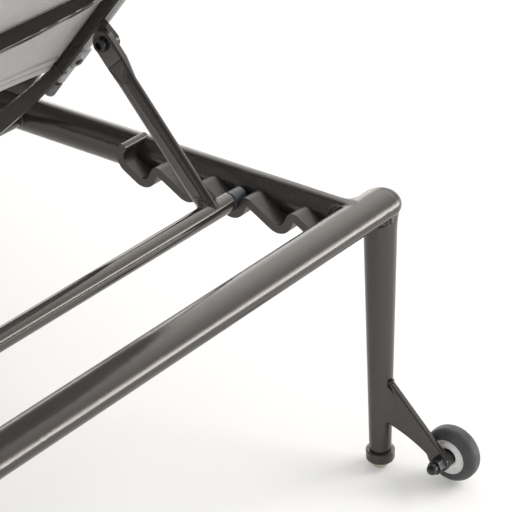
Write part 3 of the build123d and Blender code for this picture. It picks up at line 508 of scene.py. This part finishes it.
def on_back(s, y, n):
    """Points of the back from like-shaped arrays: s up from the hinge line, y across and n out
    towards the sling."""
    s, y, n = np.broadcast_arrays(s, y, n)
    return HINGE + s[..., None] * ALONG + y[..., None] * ACROSS + n[..., None] * OUT


shaded_back_paint = bronze_paint("shaded_back_paint", BACK_ROUGH, BACK_SHADE_TONE)
dress(BACK_BARS, shaded_back_paint)
back_beads = []
for hand in HANDS:
    y, n = box_ring(BACK_RAIL_Y, BACK_RAIL_N)
    back_beads.append(weld(on_back(ARM_JOINT_S, hand * y, n), ARM_JOINT_BEAD_R,
                           pitch=ARM_JOINT_PITCH))
    for bar_s, bar_n in BAR_ENDS:
        s, n = box_ring(bar_s, bar_n)
        back_beads.append(weld(on_back(s, hand * BAR_END_Y, n), BAR_END_BEAD_R))
back_welds = lay_grid("back_welds", back_beads, weld_paint, close=True)
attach(back_welds, "backrest")

lug_beads = [weld(on_back(np.linspace(*LUG_FOOT, 20), hand * face, LUG_FOOT_N), LUG_BEAD_R,
                  closed=False)
             for hand in HANDS for face in LUG_FACES]
lug_welds = lay_grid("lug_welds", lug_beads, weld_paint)
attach(lug_welds, "backrest")

# Hinge and prop pivots: dark steel pins with round heads and a hexagon socket, on nylon bushes,
# and the nylon sleeves pushed on the ends of the prop bar.
dress(("hinge_pins", "prop_pivot_bolts"), dark_steel)
nylon = finish(surface("sleeve_nylon", (0.022, 0.027, 0.03), 0.3, coat=0.3),
               tones=((130.0,), 0.3, 0.7, (0.018, 0.023, 0.026), (0.034, 0.041, 0.045)),
               wear=((260.0,), 0.28, 0.48), bump=((800.0,), 0.12, 0.0002))
dress(("hinge_bushes", "prop_sleeve_left", "prop_sleeve_right"), nylon)

# Prop: two flat-oval arms pressed flat at the pivots, coped and welded to a round bar with turned
# ends for the sleeves. The welds are ground to hollow curves. The paint is smoother here and a
# quarter lighter than the frame's: painted light for the brighter highlight on the bar and arms.
PROP_ROUGH, PROP_LIGHT_TONE = 0.13, 1.25
BAR, BAR_R = np.array([0.63525, 0, 0.3325]), 0.01125
LUG_S, LUG_N = 0.2565, -0.0513
PROP_ARM_Y, PROP_ARM_WIDE, PROP_ARM_THICK = 0.19925, 0.0125, 0.00725
PROP_WELD_UP_LEAST, PROP_WELD_UP_MORE, PROP_WELD_OUT, PROP_WELD_ROUND = 0.0012, 0.011, 0.009, 0.3
PROP_WELD_SKIN, PROP_WELD_FULL, PROP_WELD_FOOT_R = 0.0001, 0.0004, 0.0113
lit_prop_paint = bronze_paint("lit_prop_paint", PROP_ROUGH, PROP_LIGHT_TONE)
dress(("prop_arm_left", "prop_arm_right", "prop_bar"), lit_prop_paint)
down = unit(BAR - (HINGE + LUG_S * ALONG + LUG_N * OUT))
side_way = np.cross(down, ACROSS)


def on_bar(radius, angle, y):
    """Points round the prop bar: an angle from the side that faces the arm, and y across."""
    return BAR + (radius * np.sin(angle)[:, None] * side_way
                  - radius * np.cos(angle)[:, None] * down + y[:, None] * ACROSS)


# Weld fillet: from a ring up the arm through the corner to a ring round the bar, fullest on the
# arm's flat sides.
round_bar = np.arcsin(np.clip(PROP_ARM_WIDE * np.cos(ROUND) / BAR_R, -0.985, 0.985))
flat_sides = np.sin(ROUND) ** 2
outward = np.cos(ROUND)[:, None] * side_way - np.sin(ROUND)[:, None] * ACROSS
bar_joints = []
for hand in HANDS:
    arm_y = hand * PROP_ARM_Y - PROP_ARM_THICK * np.sin(ROUND)
    seat = on_bar(BAR_R, round_bar, arm_y)
    seat += (PROP_ARM_WIDE * np.cos(ROUND) - BAR_R * np.sin(round_bar))[:, None] * side_way
    foot = on_bar(PROP_WELD_FOOT_R, round_bar + PROP_WELD_ROUND * np.cos(ROUND) * flat_sides,
                  arm_y - PROP_WELD_OUT * np.sin(ROUND) * flat_sides)
    up_arm = seat - (PROP_WELD_UP_LEAST + PROP_WELD_UP_MORE * flat_sides)[:, None] * down
    bar_joints.append(bend(up_arm + PROP_WELD_SKIN * outward, seat + PROP_WELD_FULL * outward,
                           foot, 10))
prop_welds = lay_grid("prop_welds", bar_joints, lit_prop_paint)
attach(prop_welds, "prop")

# Slings: open-weave coated polyester stretched between the sling rails. Each edge is a
# pocket sewn round its rail, and the ends are turned back in a stitched hem.
SLING_Y, WRAP, STRAIGHT, CLOTH_THICK = 0.223, 0.0069, 0.0015, 0.0011
BACK_OUT, BACK_SAG, BACK_TOP_S, BACK_POCKET_S = -0.0243, 0.0015, 0.788, 0.141
SCOOP_S, SCOOP_DEPTH, SCOOP_HALF, POCKET_START, POCKET_END = 0.17, 0.016, 0.2, 0.2055, 0.2095
SEAT_Z, SEAT_SAG, SEAT_ENDS = 0.3515, 0.005, (-0.81325, 0.24175)
FORWARD, UP = np.array([1.0, 0, 0]), np.array([0, 0, 1.0])
THREAD_SCALE = 140.0
HEM_HALF, HEM_MAP_STEP = 0.2045, 0.004
# Hem section as (distance inward, height outward), and its rows of thread as the distance inward,
# the height behind and the height in front.
HEM_SECTION = np.array([(0.03, -0.0008), (0.0295, -0.0014), (0.022, -0.0017), (0.0145, -0.0016),
                        (0.013, -0.0012), (0.0115, -0.0017), (0.006, -0.0024), (0.001, -0.0022),
                        (-0.0008, -0.0013), (-0.0012, 0), (-0.0008, 0.001), (0.001, 0.0014),
                        (0.012, 0.0013), (0.0295, 0.0012), (0.03, 0.0007)])
HEM_ROWS = ((0.0275, -0.0017, 0.0014), (0.013, -0.0014, 0.0014))
SEAM_Y, SEAM_PROUD, SEAM_SINK = 0.2035, 0.0006, 0.0002
BACK_SEAM, SEAT_SEAM = (0.192, 0.757), (-0.782, 0.2105)
STITCH_PITCH, STITCH_HALF, STITCH_WIDE, STITCH_HIGH = 0.0042, 0.0016, 0.0004, 0.00028
STITCH_AIM = 0.0005


def sling_line(sag):
    """Section of a sling from edge to edge as (y, n) about the rails' middle: across the front with
    a shallow sag, a parabola, a quarter turn over each rail, its straight outer side and most of a
    half turn under it."""
    quarter, under = np.linspace(np.pi / 2, 0, 10), np.linspace(0, -np.radians(150), 16)
    front = np.linspace(0, SLING_Y, 56)[:-1]
    y = np.concatenate([front, SLING_Y + WRAP * np.cos(quarter), SLING_Y + WRAP * np.cos(under)])
    n = np.concatenate([STRAIGHT + WRAP - sag * (1 - (front / SLING_Y) ** 2),
                        STRAIGHT + WRAP * np.sin(quarter), -STRAIGHT + WRAP * np.sin(under)])
    return np.concatenate([-y[:0:-1], y]), np.concatenate([n[:0:-1], n])


def combine(tree, operation, first, second):
    """Result of one operation on two values in a node tree. The second may be a plain number."""
    node = tree.nodes.new("ShaderNodeMath")
    node.operation = operation
    tree.links.new(first, node.inputs[0])
    if isinstance(second, float):
        node.inputs[1].default_value = second
    else:
        tree.links.new(second, node.inputs[1])
    return node.outputs["Value"]


def weave(name):
    """Light grey mesh cloth: two crossing sets of diagonal threads from the cloth's own map, in
    metres, with dark gaps, slow drift in tone and a faint sheen."""
    material, tree, shader = surface(name, (0.58, 0.57, 0.55), 0.72, sheen=0.2)
    uv = tree.nodes.new("ShaderNodeTexCoord")
    threads = []
    for slant in (45, -45):
        mapping = tree.nodes.new("ShaderNodeMapping")
        mapping.inputs["Rotation"].default_value = (0, 0, np.radians(slant))
        wave = tree.nodes.new("ShaderNodeTexWave")
        wave.inputs["Scale"].default_value = THREAD_SCALE
        wave.inputs["Distortion"].default_value = 0.0
        tree.links.new(uv.outputs["UV"], mapping.inputs["Vector"])
        tree.links.new(mapping.outputs["Vector"], wave.inputs["Vector"])
        threads.append(wave.outputs["Fac"])
    over = combine(tree, "MAXIMUM", *threads)
    mesh = ramp(tree, over, 0.2, 0.75, (0.24, 0.235, 0.23), (0.56, 0.55, 0.535))
    tone = ramp(tree, noise(tree, 35.0, coords="UV"), 0.25, 0.75, (0.92, 0.92, 0.92), (1, 1, 1))
    mix = tree.nodes.new("ShaderNodeMix")
    mix.data_type = "RGBA"
    mix.blend_type = "MULTIPLY"
    mix.inputs["Factor"].default_value = 1.0
    tree.links.new(mesh, mix.inputs["A"])
    tree.links.new(tone, mix.inputs["B"])
    tree.links.new(mix.outputs["Result"], shader.inputs["Base Color"])
    relief(tree, shader, over, 0.5, 0.0005)
    return material


def map_cloth(piece, across, along):
    """Write the cloth's flat sizes, across and along in metres, as the piece's texture map."""
    layer = piece.data.uv_layers.new(name="cloth")
    corner = np.empty(len(piece.data.loops), dtype=np.int32)
    piece.data.loops.foreach_get("vertex_index", corner)
    flat = np.stack([across.reshape(-1)[corner], along.reshape(-1)[corner]], axis=1)
    layer.data.foreach_set("uv", flat.astype(np.float32).reshape(-1))


def thicken(piece):
    """Give a sheet the cloth's thickness, half to each side."""
    wall = piece.modifiers.new("thickness", "SOLIDIFY")
    wall.thickness = CLOTH_THICK
    wall.offset = 0


def hems(name, ends, out):
    """Closed strips along a sling's ends: the hem section carried along each end row of points,
    thicker behind, with a groove under one row of thread. Ends are (points, way inward)."""
    strips = []
    for edge, inward in ends:
        strip = (edge[:, None, :] + HEM_SECTION[:, 0, None] * inward
                 + HEM_SECTION[:, 1, None] * out)
        strips.append(strip if np.dot(np.cross(inward, ACROSS), out) > 0 else strip[:, ::-1])
    piece = lay_grid(name, strips, cloth)
    size = len(HEM_SECTION)
    along = np.arange(size) * HEM_MAP_STEP
    map_cloth(piece, np.repeat(np.concatenate([edge[:, 1] for edge, _ in ends]), size),
              np.tile(along, sum(len(edge) for edge, _ in ends)))
    return piece


def stitches(line, out):
    """Row of lock stitches along a line of points: each is a small rounded bead, three quarters of
    the pitch long and lower than it is wide."""
    at = np.arange(STITCH_PITCH / 2, travelled(line)[-1], STITCH_PITCH)
    middle = points_at(line, at)
    ways = unit(points_at(line, at + STITCH_AIM) - middle)
    end = np.linspace(0.25, np.pi - 0.25, 6)[:, None, None]
    turn = np.linspace(0, 2 * np.pi, 6, endpoint=False)[:, None]
    return [point - STITCH_HALF * np.cos(end) * way + np.sin(end) ** 0.5
            * (STITCH_WIDE * np.cos(turn) * np.cross(out, way) + STITCH_HIGH * np.sin(turn) * out)
            for point, way in zip(middle, ways)]


def sew(name, ends, sides, out, body):
    """One piece with all the stitches of a sling, on both faces: two rows along each hem and one
    along each side. It rides with the body that the sling is stretched on."""
    seams = []
    for edge, inward in ends:
        for away, *faces in HEM_ROWS:
            for face in faces:
                seams += stitches(edge + away * inward + face * out, out)
    for line in sides:
        for face in (-SEAM_PROUD, SEAM_PROUD):
            seams += stitches(line + face * out, out)
    piece = lay_grid(name, seams, thread)
    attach(piece, body)
    return piece


cloth = weave("sling_cloth")
thread = finish(surface("sewing_thread", (0.05, 0.05, 0.049), 0.6, sheen=0.1),
                tones=((900.0,), 0.3, 0.7, (0.035, 0.035, 0.034), (0.085, 0.084, 0.082)))

y, n = sling_line(BACK_SAG)
girth = travelled(np.stack([y, n], axis=1))
flat = np.abs(y) < HEM_HALF
scoop = SCOOP_S - SCOOP_DEPTH * np.minimum(np.abs(y) / SCOOP_HALF, 1) ** 3
start = scoop + (BACK_POCKET_S - scoop) * smooth(np.abs(y), POCKET_START, POCKET_END)
s = start + (BACK_TOP_S - start) * np.linspace(0, 1, 90)[:, None]
back_sling = lay_grid("back_sling_cloth", [on_back(s, y, BACK_OUT + n)], cloth, around=False)
map_cloth(back_sling, np.broadcast_to(girth, s.shape), s)
thicken(back_sling)
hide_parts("back_sling")
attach(back_sling, "backrest")
back_ends = ((on_back(scoop[flat], y[flat], BACK_OUT + n[flat]), ALONG),
             (on_back(BACK_TOP_S, y[flat], BACK_OUT + n[flat]), -ALONG))
back_hems = hems("back_hems", back_ends, OUT)
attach(back_hems, "backrest")
seam_n = BACK_OUT + STRAIGHT + WRAP - SEAM_SINK
back_sides = [on_back(np.linspace(*BACK_SEAM, 40), hand * SEAM_Y, seam_n) for hand in HANDS]
back_stitches = sew("back_stitches", back_ends, back_sides, OUT, "backrest")

y, n = sling_line(SEAT_SAG)
girth = travelled(np.stack([y, n], axis=1))
x = np.linspace(*SEAT_ENDS, 150)[:, None]
grid = np.stack(np.broadcast_arrays(x, y, SEAT_Z + n), axis=-1)
seat_sling = lay_grid("seat_sling_cloth", [grid], cloth, around=False)
map_cloth(seat_sling, np.broadcast_to(girth, grid.shape[:2]), np.broadcast_to(x, grid.shape[:2]))
thicken(seat_sling)
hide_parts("seat_sling")
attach(seat_sling, "base")
seat_ends = ((grid[0][flat], FORWARD), (grid[-1][flat], -FORWARD))
seat_hems = hems("seat_hems", seat_ends, UP)
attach(seat_hems, "base")
# The side seams lie at the height that the cloth has one step inside the end of a hem.
seam_x, seam_z = np.linspace(*SEAT_SEAM, 60), SEAT_Z + n[flat][-2]
seat_sides = [np.stack(np.broadcast_arrays(seam_x, hand * SEAM_Y, seam_z), axis=1)
              for hand in HANDS]
seat_stitches = sew("seat_stitches", seat_ends, seat_sides, UP, "base")

# Rail caps and saddles: moulded plastic, the darker caps plugged into the sling rails and the grey
# saddles screwed to the back rails with socket screws.
grey_plastic = finish(surface("grey_plastic", (0.3, 0.3, 0.3), 0.42),
                      tones=((80.0,), 0.3, 0.7, (0.27, 0.27, 0.27), (0.36, 0.355, 0.35)),
                      wear=((300.0,), 0.34, 0.52), bump=((900.0,), 0.2, 0.0002))
dress(("back_saddles", "seat_saddles"), grey_plastic)
cap_plastic = finish(surface("cap_plastic", (0.13, 0.13, 0.128), 0.34),
                     tones=((80.0,), 0.3, 0.7, (0.11, 0.11, 0.108), (0.16, 0.158, 0.155)),
                     wear=((300.0,), 0.28, 0.44), bump=((900.0,), 0.2, 0.0002))
dress(("back_rail_caps", "seat_rail_caps"), cap_plastic)
dress(("back_saddle_screws",), dark_steel)

# Studio: a pale sweep of floor, white behind, with one large soft lamp beyond the head end and
# an even fill. The paint mirrors a lit wall with a window and, near the lounger, the floor. The
# camera is at the head-end corner.
FLOOR_HALF, FLOOR_Z, FLOOR_GLOW, FLOOR_MIRRORED = 20.0, -0.0006, 0.16, 3.2
FILL_STRENGTH = 0.85
LAMP_AT, LAMP_AIM = np.array([2.9, 2.2, 2.6]), np.array([0.5, 0, 0.3])
LAMP_WIDE, LAMP_HIGH, LAMP_WATTS = 2.6, 1.8, 75
SENSOR, LENS = 36.0, 146.95
AZIMUTH, ELEVATION, ROLL = np.radians([39.16, 28.92, -1.89])
CAMERA_FROM_FOOT = np.array([1.1494, -1.6251, 1.3757])


def mix_shaders(tree, share, first, second):
    """Shader that is first where a share is 0 and second where it is 1."""
    node = tree.nodes.new("ShaderNodeMixShader")
    tree.links.new(share, node.inputs["Fac"])
    tree.links.new(first, node.inputs[1])
    tree.links.new(second, node.inputs[2])
    return node.outputs["Shader"]


# The camera sees the floor a little lifted, and the paint mirrors only the floor near the lounger.
sweep, tree, shader = surface("floor_sweep", (0.86, 0.85, 0.83), 0.9)
x, y = np.meshgrid((-FLOOR_HALF, FLOOR_HALF), (-FLOOR_HALF, FLOOR_HALF))
flat_floor = np.stack([x, y, np.full((2, 2), FLOOR_Z)], axis=-1)
floor = lay_grid("floor", [flat_floor], sweep, around=False)
shader.inputs["Specular IOR Level"].default_value = 0.0
seen = tree.nodes.new("ShaderNodeLightPath")
glow = tree.nodes.new("ShaderNodeEmission")
glow.inputs["Color"].default_value = (1, 1, 1, 1)
tree.links.new(combine(tree, "MULTIPLY", seen.outputs["Is Camera Ray"], FLOOR_GLOW),
               glow.inputs["Strength"])
lifted = tree.nodes.new("ShaderNodeAddShader")
tree.links.new(shader.outputs["BSDF"], lifted.inputs[0])
tree.links.new(glow.outputs["Emission"], lifted.inputs[1])
spot = tree.nodes.new("ShaderNodeTexCoord")
away = tree.nodes.new("ShaderNodeVectorMath")
away.operation = "LENGTH"
tree.links.new(spot.outputs["Object"], away.inputs[0])
far = combine(tree, "GREATER_THAN", away.outputs["Value"], FLOOR_MIRRORED)
unmirrored = combine(tree, "MULTIPLY", far, seen.outputs["Is Glossy Ray"])
clear = tree.nodes.new("ShaderNodeBsdfTransparent")
tree.links.new(mix_shaders(tree, unmirrored, lifted.outputs["Shader"], clear.outputs["BSDF"]),
               tree.nodes["Material Output"].inputs["Surface"])

world = bpy.data.worlds.new("studio")
bpy.context.scene.world = world
world.use_nodes = True
tree = world.node_tree
fill = tree.nodes["Background"]
fill.inputs["Color"].default_value = (1, 1, 1, 1)
fill.inputs["Strength"].default_value = FILL_STRENGTH
direction = tree.nodes.new("ShaderNodeTexCoord")
part = tree.nodes.new("ShaderNodeSeparateXYZ")
tree.links.new(direction.outputs["Generated"], part.inputs["Vector"])


def level(axis, start, end, low, high):
    """Level of the mirrored studio that goes smoothly from low to high along one axis of the
    direction."""
    node = tree.nodes.new("ShaderNodeMapRange")
    node.interpolation_type = "SMOOTHSTEP"
    node.inputs["From Min"].default_value = start
    node.inputs["From Max"].default_value = end
    node.inputs["To Min"].default_value = low
    node.inputs["To Max"].default_value = high
    tree.links.new(part.outputs[axis], node.inputs["Value"])
    return node.outputs["Result"]


# What the paint mirrors: a wall ahead, brighter towards the foot end, with a darker gap low down
# and a window, and a dim ceiling. It is dark below the horizon.
wall = combine(tree, "MULTIPLY", level("X", -0.3, 0.7, 2.1, 0.7), level("Z", 0.72, 0.95, 1.0, 0.2))
window = combine(tree, "MULTIPLY", level("X", 0.15, 0.55, 0.0, 1.0),
                 level("Z", -0.02, 0.42, 8.5, 0.0))
gap = combine(tree, "MAXIMUM", level("Z", 0.25, 0.5, 0.0, 1.0), level("X", -0.66, -0.52, 1.0, 0.2))
lit_wall = combine(tree, "ADD", combine(tree, "MULTIPLY", wall, gap), window)
ahead = combine(tree, "MULTIPLY", lit_wall, level("Y", 0.05, 0.6, 0.0, 1.0))
overhead = combine(tree, "ADD", ahead, level("Z", 0.1, 0.6, 0.45, 0.12))
mirrored = tree.nodes.new("ShaderNodeBackground")
mirrored.inputs["Color"].default_value = (1, 0.99, 0.97, 1)
tree.links.new(combine(tree, "MULTIPLY", overhead, level("Z", -0.14, -0.09, 0.08, 1.0)),
               mirrored.inputs["Strength"])
white = tree.nodes.new("ShaderNodeBackground")
white.inputs["Color"].default_value = (1, 1, 1, 1)
seen = tree.nodes.new("ShaderNodeLightPath")
shiny = combine(tree, "MAXIMUM", seen.outputs["Is Glossy Ray"], seen.outputs["Is Transmission Ray"])
light = mix_shaders(tree, shiny, fill.outputs["Background"], mirrored.outputs["Background"])
tree.links.new(mix_shaders(tree, seen.outputs["Is Camera Ray"], light, white.outputs["Background"]),
               tree.nodes["World Output"].inputs["Surface"])


def stand(thing, right, up, back, at):
    """Put a lamp or camera at a point, with its own axes along three directions."""
    place = np.eye(4)
    place[:3] = np.stack([right, up, back, at], axis=1)
    thing.matrix_world = Matrix(place.tolist())
    bpy.context.scene.collection.objects.link(thing)


key_lamp = bpy.data.objects.new("key_lamp", bpy.data.lights.new("key_lamp", "AREA"))
key_lamp.data.shape = "RECTANGLE"
key_lamp.data.size = LAMP_WIDE
key_lamp.data.size_y = LAMP_HIGH
key_lamp.data.energy = LAMP_WATTS
key_lamp.visible_camera = False
key_lamp.visible_glossy = False
back = unit(LAMP_AT - LAMP_AIM)
right = unit(np.cross(UP, back))
stand(key_lamp, right, np.cross(back, right), back, LAMP_AT)

camera = bpy.data.objects.new("camera", bpy.data.cameras.new("camera"))
camera.data.sensor_width = SENSOR
camera.data.lens = LENS
back = np.array([np.sin(AZIMUTH) * np.cos(ELEVATION), -np.cos(AZIMUTH) * np.cos(ELEVATION),
                 np.sin(ELEVATION)])
right = np.array([np.cos(AZIMUTH), np.sin(AZIMUTH), 0])
up = np.cross(back, right)
stand(camera, np.cos(ROLL) * right + np.sin(ROLL) * up, np.cos(ROLL) * up - np.sin(ROLL) * right,
      back, np.array([REAR_X, LEG_Y, 0]) + CAMERA_FROM_FOOT)
bpy.context.scene.camera = camera
bpy.context.scene.view_settings.view_transform = "Standard"
